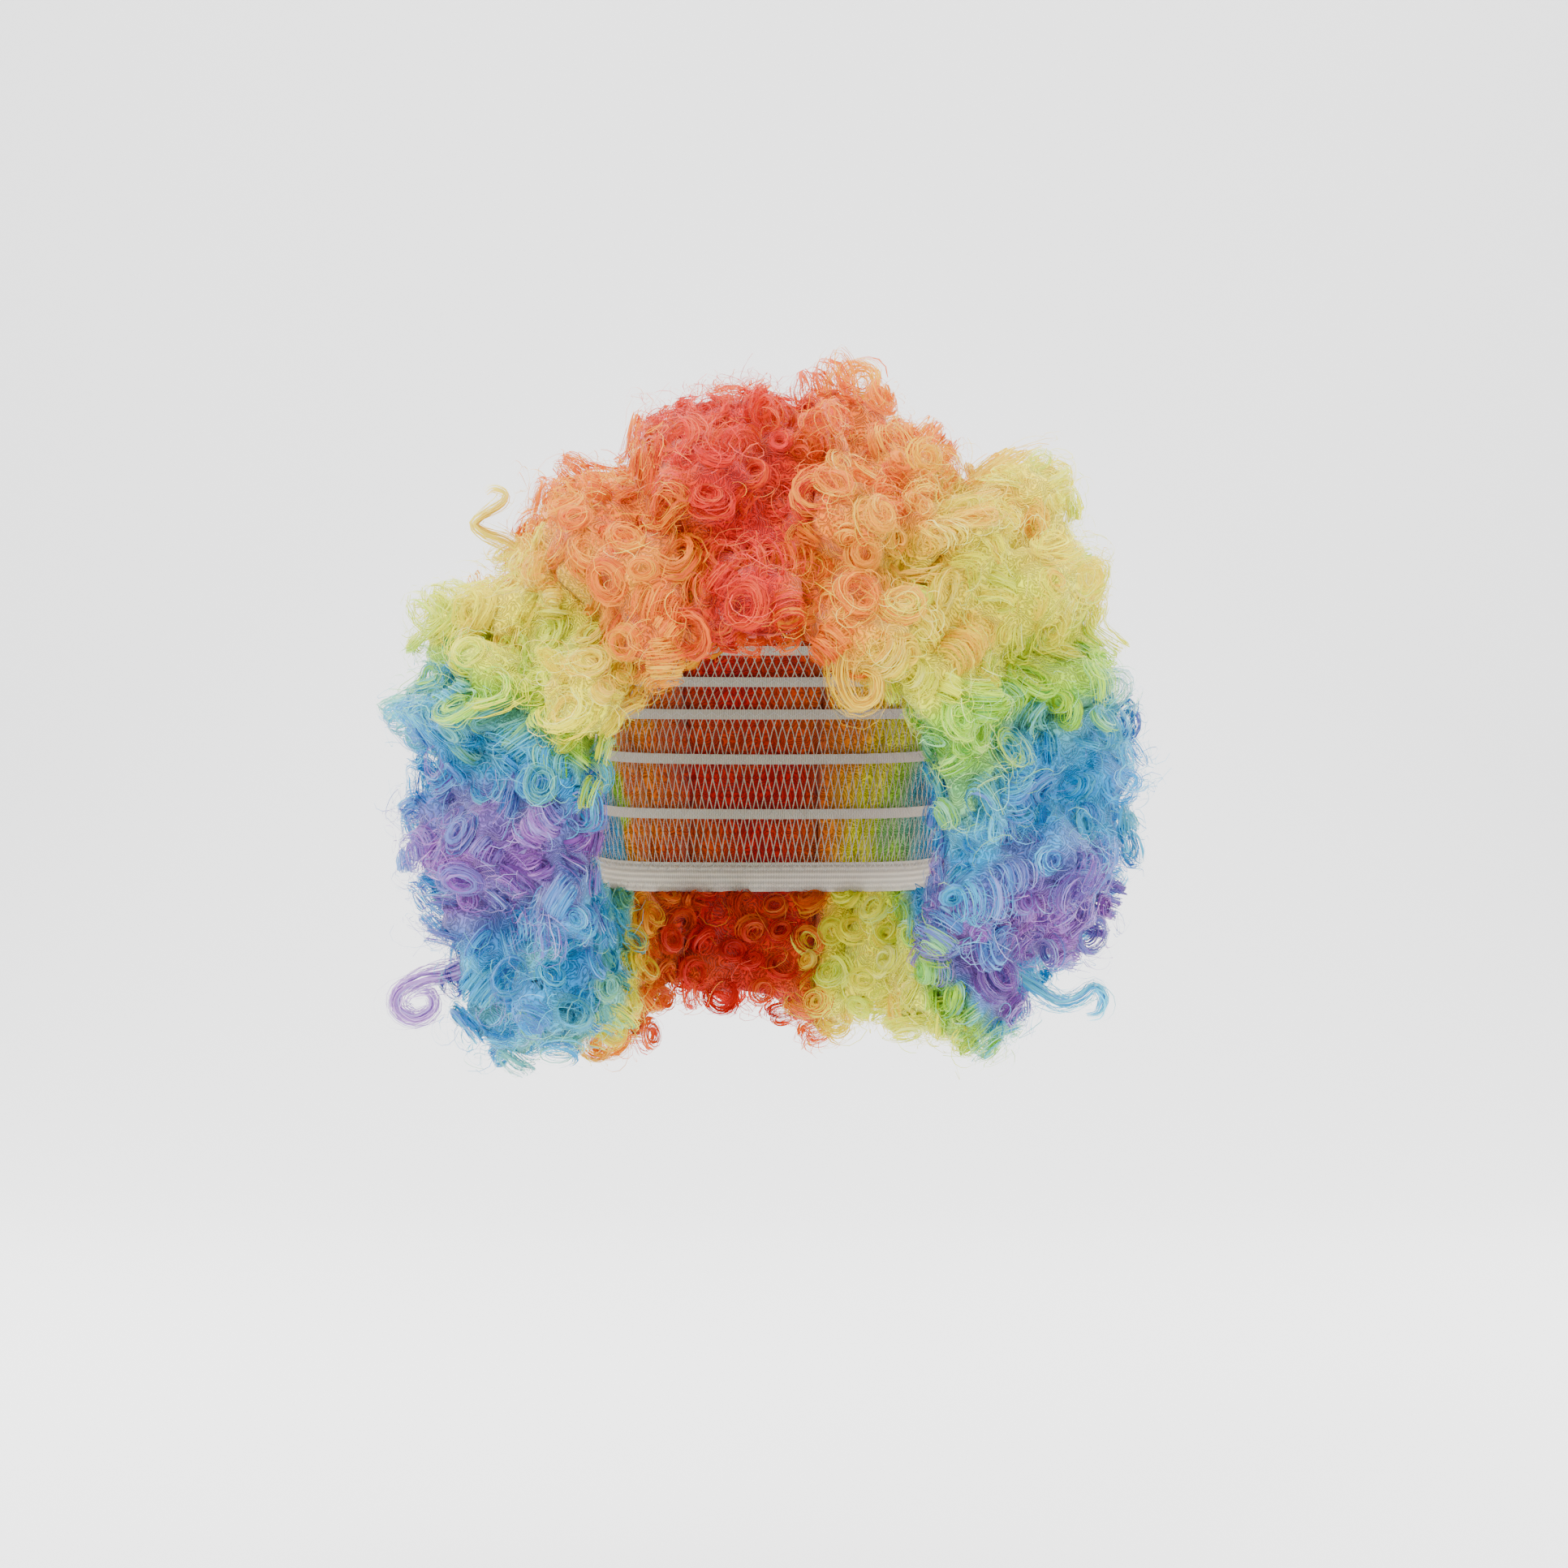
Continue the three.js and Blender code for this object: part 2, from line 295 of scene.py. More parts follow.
def strandMesh(name, paths, facings, widths, colours, finish):
    # flat ribbons: paths, facings and colours are strands x points x 3
    count, steps = paths.shape[:2]
    along = np.gradient(paths, axis=1)
    across = unit(np.cross(facings, along)) * widths[..., None] / 2
    points = np.stack([paths - across, paths + across], axis=2)
    index = np.arange(points[..., 0].size).reshape(count, steps, 2)
    quads = np.stack(
        [index[:, :-1, 0], index[:, 1:, 0], index[:, 1:, 1], index[:, :-1, 1]], axis=-1
    ).reshape(-1, 4)
    mesh = bpy.data.meshes.new(name)
    mesh.vertices.add(index.size)
    mesh.vertices.foreach_set("co", points.astype(np.float32).ravel())
    mesh.loops.add(quads.size)
    mesh.loops.foreach_set("vertex_index", quads.astype(np.int32).ravel())
    mesh.polygons.add(len(quads))
    mesh.polygons.foreach_set("loop_start", np.arange(0, quads.size, 4, dtype=np.int32))
    mesh.update(calc_edges=True)
    mesh.polygons.foreach_set("use_smooth", np.ones(len(quads), bool))
    tint = np.ones((count, steps, 2, 4), np.float32)
    tint[..., :3] = colours[:, :, None, :]
    mesh.attributes.new("tint", "FLOAT_COLOR", "POINT").data.foreach_set("color", tint.ravel())
    # distance along, distance across and a number of its own for every strand, in mm
    grain = np.zeros((count, steps, 2, 3), np.float32)
    lengths = np.linalg.norm(np.diff(paths, axis=1), axis=-1)
    grain[:, 1:, :, 0] = (np.cumsum(lengths, axis=1) / mm)[:, :, None]
    grain[..., 1] = widths[..., None] / mm * np.array((-0.5, 0.5))
    grain[..., 2] = 7.3 * np.arange(count)[:, None, None]
    mesh.attributes.new("grain", "FLOAT_VECTOR", "POINT").data.foreach_set("vector", grain.ravel())
    # every strand has a cell of its own on the map
    cells = math.ceil(math.sqrt(count))
    cell = np.arange(count)
    u = np.linspace(0.08, 0.92, steps)
    spots = np.empty((count, steps, 2, 2), np.float32)
    spots[..., 0] = ((cell % cells)[:, None, None] + u[None, :, None]) / cells
    spots[..., 1] = ((cell // cells)[:, None, None] + np.array((0.25, 0.75))) / cells
    layer = mesh.uv_layers.new(name="OFBake")
    layer.uv.foreach_set("vector", spots.reshape(-1, 2)[quads.ravel()].ravel())
    piece = bpy.data.objects.new(name, mesh)
    bpy.context.collection.objects.link(piece)
    mesh.materials.append(finish)
    triangles[name] = 2 * len(quads)
    return piece


# Finishes
def newFinish(name, roughness, specular=0.5, sheen=0.0, sheenTint=(1, 1, 1, 1)):
    material = bpy.data.materials.new(name)
    material.use_nodes = True
    nodes = material.node_tree.nodes
    shader = nodes["Principled BSDF"]
    shader.inputs["Roughness"].default_value = roughness
    shader.inputs["Specular IOR Level"].default_value = specular
    shader.inputs["Sheen Weight"].default_value = sheen
    shader.inputs["Sheen Roughness"].default_value = 0.4
    shader.inputs["Sheen Tint"].default_value = sheenTint
    return material, nodes, material.node_tree.links, shader


def scaledTint(nodes, links, value, low, high):
    # the piece's own tint, darker and lighter as a pattern's value goes from 0.3 to 0.7
    tint = nodes.new("ShaderNodeAttribute")
    tint.attribute_name = "tint"
    bright = nodes.new("ShaderNodeMapRange")
    bright.inputs["From Min"].default_value = 0.3
    bright.inputs["From Max"].default_value = 0.7
    bright.inputs["To Min"].default_value = low
    bright.inputs["To Max"].default_value = high
    links.new(value, bright.inputs["Value"])
    dyed = nodes.new("ShaderNodeVectorMath")
    dyed.operation = "SCALE"
    links.new(tint.outputs["Color"], dyed.inputs[0])
    links.new(bright.outputs["Result"], dyed.inputs["Scale"])
    return dyed.outputs["Vector"]


fibreLook = {
    "roughness": 0.5,
    "specular": 0.28,
    "throughLight": 0.36,
    "fine": 4.5,
    "apart": 1.9,  # fibres of a wisp for each mm of its width
    "gaps": 0.52,
}


def fibreFinish(name, wisp=False):
    # streaks of single fibres run along every ribbon, and a wisp is open between them
    material, nodes, links, shader = newFinish(name, fibreLook["roughness"], fibreLook["specular"])
    grain = nodes.new("ShaderNodeAttribute")
    grain.attribute_name = "grain"
    drawn = nodes.new("ShaderNodeVectorMath")
    drawn.operation = "MULTIPLY"
    drawn.inputs[1].default_value = (0.10, fibreLook["fine"], 1)
    links.new(grain.outputs["Vector"], drawn.inputs[0])
    streaks = nodes.new("ShaderNodeTexNoise")
    streaks.inputs["Scale"].default_value = 1.0
    streaks.inputs["Detail"].default_value = 2
    links.new(drawn.outputs["Vector"], streaks.inputs["Vector"])
    dyed = scaledTint(nodes, links, streaks.outputs["Fac"], 0.62, 1.15)
    links.new(dyed, shader.inputs["Base Color"])
    raised = nodes.new("ShaderNodeBump")
    raised.inputs["Strength"].default_value = 0.5
    raised.inputs["Distance"].default_value = 0.25 * mm
    links.new(streaks.outputs["Fac"], raised.inputs["Height"])
    links.new(raised.outputs["Normal"], shader.inputs["Normal"])
    through = nodes.new("ShaderNodeBsdfTranslucent")
    links.new(dyed, through.inputs["Color"])
    mixed = nodes.new("ShaderNodeMixShader")
    mixed.inputs["Fac"].default_value = fibreLook["throughLight"]
    links.new(shader.outputs["BSDF"], mixed.inputs[1])
    links.new(through.outputs["BSDF"], mixed.inputs[2])
    links.new(mixed.outputs["Shader"], nodes["Material Output"].inputs["Surface"])
    if wisp:
        parted = nodes.new("ShaderNodeVectorMath")
        parted.operation = "MULTIPLY"
        parted.inputs[1].default_value = (0.07, fibreLook["apart"], 1)
        links.new(grain.outputs["Vector"], parted.inputs[0])
        strands = nodes.new("ShaderNodeTexNoise")
        strands.inputs["Scale"].default_value = 1.0
        strands.inputs["Detail"].default_value = 1
        links.new(parted.outputs["Vector"], strands.inputs["Vector"])
        gap = nodes.new("ShaderNodeMath")
        gap.operation = "LESS_THAN"
        gap.inputs[1].default_value = fibreLook["gaps"]
        links.new(strands.outputs["Fac"], gap.inputs[0])
        clear = nodes.new("ShaderNodeBsdfTransparent")
        parting = nodes.new("ShaderNodeMixShader")
        links.new(gap.outputs["Value"], parting.inputs["Fac"])
        links.new(mixed.outputs["Shader"], parting.inputs[1])
        links.new(clear.outputs["BSDF"], parting.inputs[2])
        links.new(parting.outputs["Shader"], nodes["Material Output"].inputs["Surface"])
    return material


def coatFinish(name):
    # matted fibres under the curls in the same dye, their tint kept deep as painted shade in the
    # gaps, crossed by fine raised streaks
    material, nodes, links, shader = newFinish(name, 0.7, 0.2, 0.2)
    place = nodes.new("ShaderNodeTexCoord")
    warp = nodes.new("ShaderNodeTexNoise")
    warp.inputs["Scale"].default_value = 60
    links.new(place.outputs["Object"], warp.inputs["Vector"])
    moved = nodes.new("ShaderNodeVectorMath")
    moved.operation = "MULTIPLY_ADD"
    links.new(warp.outputs["Color"], moved.inputs[0])
    moved.inputs[1].default_value = (0.05, 0.05, 0.05)
    links.new(place.outputs["Object"], moved.inputs[2])
    streaks = nodes.new("ShaderNodeTexWave")
    streaks.wave_type = "RINGS"
    streaks.inputs["Scale"].default_value = 170
    streaks.inputs["Distortion"].default_value = 6
    streaks.inputs["Detail"].default_value = 3
    streaks.inputs["Detail Scale"].default_value = 2.5
    links.new(moved.outputs["Vector"], streaks.inputs["Vector"])
    dyed = scaledTint(nodes, links, streaks.outputs["Fac"], 0.6, 1.15)
    links.new(dyed, shader.inputs["Base Color"])
    raised = nodes.new("ShaderNodeBump")
    raised.inputs["Strength"].default_value = 0.8
    raised.inputs["Distance"].default_value = 0.8 * mm
    links.new(streaks.outputs["Fac"], raised.inputs["Height"])
    links.new(raised.outputs["Normal"], shader.inputs["Normal"])
    return material


# Curls
curl = {
    "spread": 14e-6,  # square metres of open hair for each place that is tried
    "radii": (12.5, 5.0),  # outer radius of the largest and smallest, mm
    "closeness": 0.78,  # 1 keeps neighbours just touching
    "steps": 15,
    "strands": (6, 1.22),  # in every curl, and more for each mm of its radius
    "fibreWidth": 0.4,
    "wisps": 0.38,  # share that are several fibres lying side by side
    "wispWidth": (2.0, 3.4),
    "turns": (0.85, 1.5),
    "rolls": (0.42, 0.2),  # share that lies on its side beside the face, and elsewhere
    "beside": 1.55,  # how far out beside the face goes
    "innerRadius": 8.0,  # largest where the hair faces inwards
    "leaning": 0.34,  # how far fibres lean and stray where the hair is fuzzy
    "straying": 0.22,
}


faceOpening = {"halfWide": 69.0, "middle": -131.0, "halfHigh": 75.0, "back": 10.0}
fuzz = {"least": 0.05, "more": 0.33, "low": -75.0, "rise": 70.0, "ring": 1.25, "grows": 0.5}


def faceRing(place):
    # 1 on the edge of the face opening, more further out
    x, y, z = place / mm
    if y >= faceOpening["back"]:
        return 3.0
    across = x / faceOpening["halfWide"]
    return math.hypot(across, (z - faceOpening["middle"]) / faceOpening["halfHigh"])


def fuzziness(place):
    # curls stay neat beside the face and on the lower sides, and loosen towards the top
    high = min(max((place[2] / mm - fuzz["low"]) / fuzz["rise"], 0), 1)
    away = min(max((faceRing(place) - fuzz["ring"]) / fuzz["grows"], 0), 1)
    return fuzz["least"] + fuzz["more"] * high * away


def pickCurls(name, rng):
    places, normals = openPlaces(name, curl["spread"], rng)
    big, small = curl["radii"]
    share = np.linspace(0, 1, len(places))
    radii = (big + (small - big) * share**0.5) * mm
    outwards = (normals * unit(places - hairCentre)).sum(1) > -0.15
    chosen = []
    kept = np.zeros((0, 3))
    keptRadii = np.zeros(0)
    for i, (place, radius) in enumerate(zip(places, radii)):
        if not outwards[i]:
            radius = min(radius, curl["innerRadius"] * mm)
        gap = np.linalg.norm(kept - place, axis=1)
        if (gap < curl["closeness"] * (keptRadii + radius)).any():
            continue
        kept = np.vstack([kept, place])
        keptRadii = np.append(keptRadii, radius)
        chosen.append((place, normals[i], radius, bool(outwards[i])))
    return chosen


def curlStrands(place, normal, radius, outward, rng):
    t = np.linspace(0, 1, curl["steps"])
    radial = unit(place - hairCentre)
    rollShare = curl["rolls"][0 if faceRing(place) < curl["beside"] else 1]
    roll = outward and rng.random() < rollShare
    base, more = curl["strands"]
    count = round(base + more * radius / mm)
    if roll:
        flat = unit(np.cross(radial, rng.normal(size=3)))
        axis = unit(flat + rng.uniform(0.1, 0.5) * radial)
        radius *= rng.uniform(0.75, 0.9)
        length = rng.uniform(1.7, 2.6) * radius
        start = place - axis * length / 2 - radial * radius * 0.35
        count = round(count * 1.6)
    else:
        away = 0.75 * radial + 0.25 * normal if outward else normal
        axis = unit(away + 0.3 * rng.normal(size=3))
        length = rng.uniform(0.5, 1.0) * radius
        sunk = rng.uniform(0.6, 0.95) if outward else 0.1
        start = place - axis * length * sunk
    loosened = fuzziness(place)
    axis = unit(axis + curl["leaning"] * loosened * rng.normal(size=(count, 1, 3)))
    first = unit(np.cross(axis, rng.normal(size=3)))
    second = np.cross(axis, first)
    spin = rng.choice([-1, 1])
    start = start + curl["straying"] * loosened * radius * rng.normal(size=(count, 1, 3))

    seat = rng.random((count, 1))
    if roll:
        depth = 1 - 0.16 * rng.random((count, 1))
        inside = rng.random((count, 1)) < 0.2
        depth = np.where(inside, rng.uniform(0.3, 0.7, (count, 1)), depth)
        narrow = 1 - rng.uniform(0.15, 0.4) * (2 * seat - 1) ** 2
        grooves = 1 - 0.08 * np.abs(np.sin(math.pi * seat * rng.integers(2, 4)))
        narrow = narrow * grooves
    else:
        depth = 1 - 0.58 * rng.random((count, 1)) ** 1.1
        narrow = 1 - rng.uniform(0.1, 0.35) * seat
    turns = rng.uniform(*curl["turns"], (count, 1))
    theta = rng.uniform(0, 2 * math.pi, (count, 1)) + spin * 2 * math.pi * turns * t
    phase = rng.uniform(0, 2 * math.pi)
    oval = rng.uniform(0.8, 1.0)
    waves = rng.uniform(0, 2 * math.pi, (count, 1)) + rng.uniform(6, 16, (count, 1)) * t
    coil = radius * depth * narrow * (1 + 0.05 * np.sin(2 * theta + phase) + 0.035 * np.sin(waves))
    loose = np.where(rng.random((count, 1)) < 0.15, rng.uniform(0.1, 0.45, (count, 1)), 0.0)
    coil = coil * (1 + loose * t**2 - 0.25 * (1 - t) ** 4)
    drift = rng.uniform(-0.35, 0.5, (count, 1)) * radius * (t - 0.5)
    height = seat * length + drift + 0.03 * radius * np.cos(waves)
    ring = np.cos(theta)[..., None] * first + np.sin(theta)[..., None] * second
    flatRing = np.cos(theta)[..., None] * first + oval * np.sin(theta)[..., None] * second
    bend = unit(rng.normal(size=3)) * radius * rng.uniform(0.0, 0.3)
    paths = start + height[..., None] * axis + flatRing * coil[..., None]
    paths = paths + bend * ((seat - 0.5) ** 2)[..., None]
    if roll:
        facings = ring + 0.5 * (2 * seat - 1)[..., None] ** 3 * axis
    else:
        facings = axis * 0.8 + ring * (2.6 * (depth - 0.68))[..., None]
    facings = facings + 0.18 * rng.normal(size=(count, 1, 3))
    wisp = rng.random((count, 1)) < curl["wisps"]
    ends = np.clip(np.minimum(t / 0.16, (1 - t) / 0.16), 0.12, 1)
    thin = curl["fibreWidth"] * rng.uniform(0.75, 1.2, (count, 1))
    widths = np.where(wisp, rng.uniform(*curl["wispWidth"], (count, 1)), thin) * mm * ends
    # painted shade darkens the inner fibres of each curl and painted light brightens those further
    # along its axis, outwards for a ring; the rest varies at random along and between fibres, and
    # wisps sit a little darker
    tones = 0.44 + 0.42 * (depth - 0.75) + 0.16 * (seat - 0.5)
    tones = tones + rng.uniform(-0.25, 0.25, (count, 1))
    tones = tones + 0.10 * np.sin(waves * 0.6) - np.where(wisp, 0.06, -0.04)
    return paths, facings, widths, tones, wisp[:, 0]


frizz = {
    "spread": 29e-6,  # square metres of open hair for each fibre
    "steps": 8,
    "width": 0.28,
    "radius": (3.0, 8.5),
    "height": (-2.0, 6.0),
}


def frizzStrands(name, rng):
    places, normals = openPlaces(name, frizz["spread"], rng)
    count, steps = len(places), frizz["steps"]
    t = np.linspace(0, 1, steps)[None, :]
    radial = unit(places - hairCentre)
    inner = ((normals * radial).sum(1) < -0.15)[:, None]
    outward = np.where(inner, normals, radial)
    plane = unit(outward + 0.6 * rng.normal(size=(count, 3)))
    first = unit(np.cross(plane, rng.normal(size=(count, 3))))
    second = np.cross(plane, first)
    radius = rng.uniform(*frizz["radius"], (count, 1)) * mm
    theta = rng.uniform(0, 2 * math.pi, (count, 1)) + rng.uniform(2.2, 5.4, (count, 1)) * t
    coil = radius * (1 + rng.uniform(-0.5, 0.3, (count, 1)) * t)
    height = rng.uniform(*frizz["height"], (count, 1)) * mm
    height = np.where(inner, height * 0.5, height) + rng.uniform(-3, 4, (count, 1)) * mm * t
    paths = (
        places[:, None, :]
        + outward[:, None, :] * height[..., None]
        + (np.cos(theta) * coil)[..., None] * first[:, None, :]
        + (np.sin(theta) * coil)[..., None] * second[:, None, :]
    )
    facings = unit(outward + 0.35 * rng.normal(size=(count, 3)))[:, None, :] + 0 * paths
    widths = frizz["width"] * mm * rng.uniform(0.7, 1.2, (count, 1)) * (1 - 0.5 * t**2)
    tones = rng.uniform(0.35, 1.0, (count, 1)) + 0 * t
    return paths, facings, widths, tones


bodyColour = {name: name.split("_")[1] for name in hairNodes}

# How the dyes mix at the borders, in shares of a band: by curl, by fibre and in patches.
mixing = {"curl": 0.16, "fibre": 0.10, "patch": 0.22, "patchSize": 40.0, "lighter": 0.09}
frizzMixing = {"fibre": 0.2, "patch": 0.3, "patchSize": 30.0}
offCap = 2.5  # mm between the head form and the curls' inner ends


def growHair(number, name):
    rng = np.random.default_rng(100 + number)
    colour = bodyColour[name]
    sheaves = [curlStrands(*where, rng) for where in pickCurls(name, rng)]
    paths, facings, widths, tones, wisp = (np.concatenate(x) for x in zip(*sheaves))
    sizes = [len(s[0]) for s in sheaves]
    dye = np.concatenate([np.full(n, rng.normal(0, mixing["curl"])) for n in sizes])
    lift = np.concatenate([np.full(n, rng.normal(0, mixing["lighter"])) for n in sizes])
    mid = paths[:, paths.shape[1] // 2]
    patches = mixing["patch"] * softNoise(mid, mixing["patchSize"] * mm, 5)
    place = bandPlace(mid) + patches + dye
    place = place + rng.normal(0, mixing["fibre"], len(mid))
    colours = fibreColour(np.repeat(place[:, None], paths.shape[1], 1), tones + lift[:, None])
    finish = fibreFinish(f"{colour}Fibre{number}")
    paths = besideHead(fluffed(paths), offCap)
    made = []
    for kind, part, look in (
        ("curls", ~wisp, finish),
        ("wisps", wisp, fibreFinish(f"{colour}Wisp{number}", wisp=True)),
    ):
        strands = (paths[part], facings[part], widths[part], colours[part])
        made.append(strandMesh(f"{kind}_{name[5:]}", *strands, look))

    paths, facings, widths, tones = frizzStrands(name, rng)
    mid = paths[:, paths.shape[1] // 2]
    patches = frizzMixing["patch"] * softNoise(mid, frizzMixing["patchSize"] * mm, 6)
    place = bandPlace(mid) + patches + rng.normal(0, frizzMixing["fibre"], len(mid))
    colours = fibreColour(np.repeat(place[:, None], paths.shape[1], 1), tones)
    paths = besideHead(fluffed(paths), offCap)
    made.append(strandMesh(f"frizz_{name[5:]}", paths, facings, widths, colours, finish))
    for piece in made:
        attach(piece, "root")
        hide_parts(name)
    print(f"{name}: {len(sheaves)} curls, triangles", [triangles[piece.name] for piece in made])


# Single locks that have come loose: the section, the dye, fibres, thickness and tone, and
# the line each follows in mm.
looseLocks = {
    "hookedLock": {
        "section": "hair_orange_right",
        "dye": 1.7,
        "fibres": 44,
        "thick": 6.5,
        "tone": 0.75,
        "line": [(-90, 5, -30), (-97, 4, -23), (-104, 2, -18), (-112, 0, -15), (-116, 0, -11)]
        + [(-111, 0, -7), (-105, 1, -3), (-104, 2, 1), (-109, 3, 3), (-112, 3, 1)],
    },
    "violetCurl": {
        "section": "hair_violet_right",
        "dye": 5.0,
        "fibres": 90,
        "thick": 11.0,
        "tone": 0.9,
        "line": [(-104, -3, -178), (-114, -4, -185), (-126, -6, -190), (-137, -6, -192)]
        + [(-146, -5, -197), (-147, -4, -204), (-140, -3, -208), (-133, -4, -204)]
        + [(-134, -5, -198), (-140, -6, -198)],
    },
    "blueWisp": {
        "section": "hair_blue_left",
        "dye": 4.0,
        "fibres": 60,
        "thick": 9.0,
        "tone": 0.85,
        "line": [(94, -16, -186), (107, -19, -195), (116, -20, -200), (124, -20, -198)]
        + [(129, -19, -194), (133, -18, -198), (131, -18, -204), (126, -19, -205)],
    },
    "browLock": {
        "section": "hair_orange_left",
        "dye": 1.5,
        "fibres": 60,
        "thick": 13.0,
        "tone": 0.6,
        "line": [(32, -96, -48), (29, -102, -60), (28, -104, -72), (33, -105, -81), (40, -104, -79)]
        + [(41, -103, -71), (36, -103, -68), (33, -103, -73)],
    },
}


def looseStrands(lock, rng):
    line = throughPoints(np.array(lock["line"], float), 3) * mm
    count, steps = lock["fibres"], len(line)
    t = np.linspace(0, 1, steps)
    along = unit(np.gradient(line, axis=0))
    side = unit(np.cross(along, (0.0, 1.0, 0.0)))
    up = np.cross(side, along)
    turn = rng.uniform(0, 2 * math.pi, (count, 1)) + rng.uniform(-3, 3, (count, 1)) * t
    off = lock["thick"] / 2 * mm * np.sqrt(rng.random((count, 1))) * (1.1 - 0.6 * t)
    off = off * (1 + 0.4 * np.sin(turn * 2 + rng.uniform(5, 16, (count, 1)) * t))
    stray = rng.random((count, 1)) < 0.15
    off = off * np.where(stray, 1 + rng.uniform(0.3, 1.6, (count, 1)) * t, 1)
    paths = line + (np.cos(turn) * off)[..., None] * side + (np.sin(turn) * off)[..., None] * up
    facings = np.cos(turn)[..., None] * side + np.sin(turn)[..., None] * up
    end = rng.uniform(0.75, 1.05, (count, 1))
    widths = 0.42 * mm * rng.uniform(0.7, 1.3, (count, 1)) * np.clip((end - t) / 0.1, 0.02, 1)
    tones = lock["tone"] + rng.uniform(-0.25, 0.2, (count, 1)) + 0 * t
    return paths, facings, widths, tones


def makeLooseLock(number, name, lock):
    rng = np.random.default_rng(300 + number)
    paths, facings, widths, tones = looseStrands(lock, rng)
    place = lock["dye"] + rng.normal(0, 0.12, (len(paths), 1)) + 0 * tones
    finish = fibreFinish(f"{name}Fibre")
    piece = strandMesh(name, paths, facings, widths, fibreColour(place, tones), finish)
    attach(piece, "root")
    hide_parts(lock["section"])


undercoat = {"voxel": 5.6, "plump": 0.6, "sunk": 5.0, "smooth": 3, "lumps": 1.4, "offNet": 1.4}


def deselectAll():
    bpy.ops.object.select_all(action="DESELECT")


def makeUndercoat(number, name):
    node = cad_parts[name]
    coat = bpy.data.objects.new(f"undercoat_{name[5:]}", node.data.copy())
    bpy.context.collection.objects.link(coat)
    deselectAll()
    coat.select_set(True)
    bpy.context.view_layer.objects.active = coat
    bpy.ops.object.mode_set(mode="EDIT")
    bpy.ops.mesh.select_all(action="SELECT")
    bpy.ops.mesh.remove_doubles(threshold=0.01 * mm)
    bpy.ops.object.mode_set(mode="OBJECT")
    remesh = coat.modifiers.new("felted", "REMESH")
    remesh.mode = "VOXEL"
    remesh.voxel_size = undercoat["voxel"] * mm
    remesh.use_smooth_shade = True
    bpy.ops.object.modifier_apply(modifier=remesh.name)
    soft = coat.modifiers.new("softened", "SMOOTH")
    soft.iterations = undercoat["smooth"]
    bpy.ops.object.modifier_apply(modifier=soft.name)
    mesh = coat.data
    where = np.empty(len(mesh.vertices) * 3)
    mesh.vertices.foreach_get("co", where)
    where = where.reshape(-1, 3)
    normals = np.empty(len(mesh.vertices) * 3)
    mesh.vertex_normals.foreach_get("vector", normals)
    reach = where - hairCentre
    ways = unit(reach)
    outer = np.clip(((normals.reshape(-1, 3) * ways).sum(1) - 0.1) / 0.4, 0, 1)
    far = np.clip((np.linalg.norm(reach, axis=1) - 100 * mm) / (20 * mm), 0, 1)
    lumps = undercoat["lumps"] * mm * softNoise(where, 9 * mm, 11)
    moved = where + normals.reshape(-1, 3) * undercoat["plump"] * mm
    moved = moved + ways * ((lumps - undercoat["sunk"] * mm) * outer * far)[:, None]
    moved = besideHead(fluffed(moved), undercoat["offNet"])
    mesh.vertices.foreach_set("co", moved.astype(np.float32).ravel())
    mesh.update()
    place = bandPlace(moved) + 0.2 * softNoise(moved, 35 * mm, 5)
    # painted shade: the undercoat's tone is held near the deep end, darker than the curls above it,
    # and varies in patches
    tone = 0.30 + 0.14 * softNoise(moved, 12 * mm, 8)
    tint = np.ones((len(moved), 4), np.float32)
    tint[:, :3] = fibreColour(place, tone)
    mesh.attributes.new("tint", "FLOAT_COLOR", "POINT").data.foreach_set("color", tint.ravel())
    mesh.materials.clear()
    colour = bodyColour[name]
    mesh.materials.append(coatFinish(f"{colour}MattedPaintedShade{number}"))
    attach(coat, "root")
    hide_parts(name)
    triangles[coat.name] = 2 * len(mesh.polygons)


for number, name in enumerate(hairNodes):
    growHair(number, name)
    makeUndercoat(number, name)
for number, (name, lock) in enumerate(looseLocks.items()):
    makeLooseLock(number, name, lock)
print("hair ready")


# Net cap
def onHead(around, down, lift):
    # around from the wearer's left, down from the crown, both angles; a place in mm
    out = np.stack(
        [np.sin(down) * np.cos(around), np.sin(down) * np.sin(around), np.cos(down)], axis=-1
    )
    half = np.empty(out.shape)
    half[..., 0] = head["halfWide"] + lift
    half[..., 1] = head["halfLong"] + lift
    half[..., 2] = np.where(out[..., 2] > 0, head["up"], head["down"]) + lift
    return out * half + (0, 0, head["middle"])


def rimAngle(around, raised):
    # how far down the rim is, raised by some mm, at each angle around
    low, high = np.full(around.shape, 0.2), np.full(around.shape, 2.6)
    for _ in range(30):
        middle = (low + high) / 2
        place = onHead(around, middle, 0)
        above = place[..., 2] > rimHeight(place[..., 1]) + raised
        low, high = np.where(above, middle, low), np.where(above, high, middle)
    return low


net = {
    "lift": -0.3,
    "cell": 4.0,
    "thread": 0.42,
    "rings": 12,
    "tape": 4.2,
    "tapeThick": 0.5,
    "patch": 0.10,
    "colour": (0.74, 0.66, 0.53),
    "tapeColour": (0.80, 0.73, 0.61),
    "stitch": (3.0, 1.1),  # pitch of the zigzag and half its width, mm
    "stitchColour": (0.90, 0.87, 0.80),
}
fullTurn = np.linspace(0, 2 * math.pi, 241)[:-1]
netRim = rimAngle(fullTurn, rim["band"] - 2)


def netPoint(around, share, lift=net["lift"]):
    # share 0 at the crown to 1 at the top of the hem band
    turn = np.append(fullTurn, 2 * math.pi)
    limit = np.interp(around % (2 * math.pi), turn, np.append(netRim, netRim[0]))
    return onHead(around, limit * share, lift) * mm


